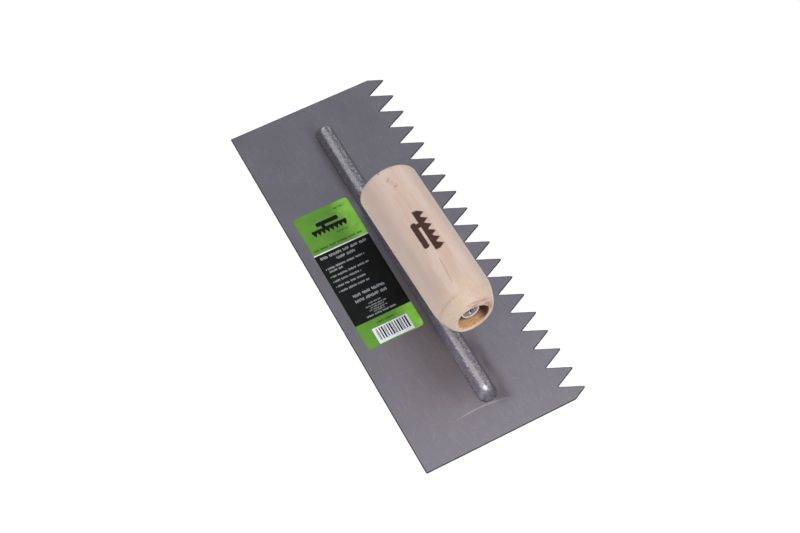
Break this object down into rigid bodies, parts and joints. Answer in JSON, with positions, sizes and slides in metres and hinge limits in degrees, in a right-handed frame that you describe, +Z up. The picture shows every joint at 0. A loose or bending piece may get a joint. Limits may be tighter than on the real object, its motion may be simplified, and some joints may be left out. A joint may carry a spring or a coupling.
{
  "type": "notched trowel",
  "caption": "Notched trowel with V-shaped teeth along a long edge of its flat steel blade, a riveted cast aluminium gooseneck shank and a turned wooden handle.",
  "frame": {"origin": "middle of the blade's underside, on the surface the trowel rests on", "axes": "+X along the blade from the neck end towards the rear end of the handle, +Y across the blade towards the toothed edge, +Z up out of the blade's top"},
  "size_m": [0.28, 0.115, 0.0857],
  "materials": {
    "blade_steel": "stainless sheet, fine brushing along the blade, light scratches",
    "cast_aluminium": "raw sand casting, pebbled skin, rubbed bright along the ridge",
    "rivet_aluminium": "peened and ground flush",
    "handle_wood": "pale close-grained hardwood, turned and sanded, unvarnished, one burned mark",
    "zinc_plate": "bright zinc plating",
    "label_film": "printed self-adhesive film, green and near black, satin gloss"
  },
  "bodies": {
    "root": {"blade": "blade_steel", "shank": "cast_aluminium", "rivet_1": "rivet_aluminium", "rivet_2": "rivet_aluminium", "rivet_3": "rivet_aluminium", "rivet_4": "rivet_aluminium", "rivet_5": "rivet_aluminium", "rivet_6": "rivet_aluminium", "rivet_7": "rivet_aluminium", "rivet_8": "rivet_aluminium", "handle": "handle_wood", "washer": "zinc_plate", "screw": "zinc_plate", "label": "label_film"}
  },
  "joints": []
}
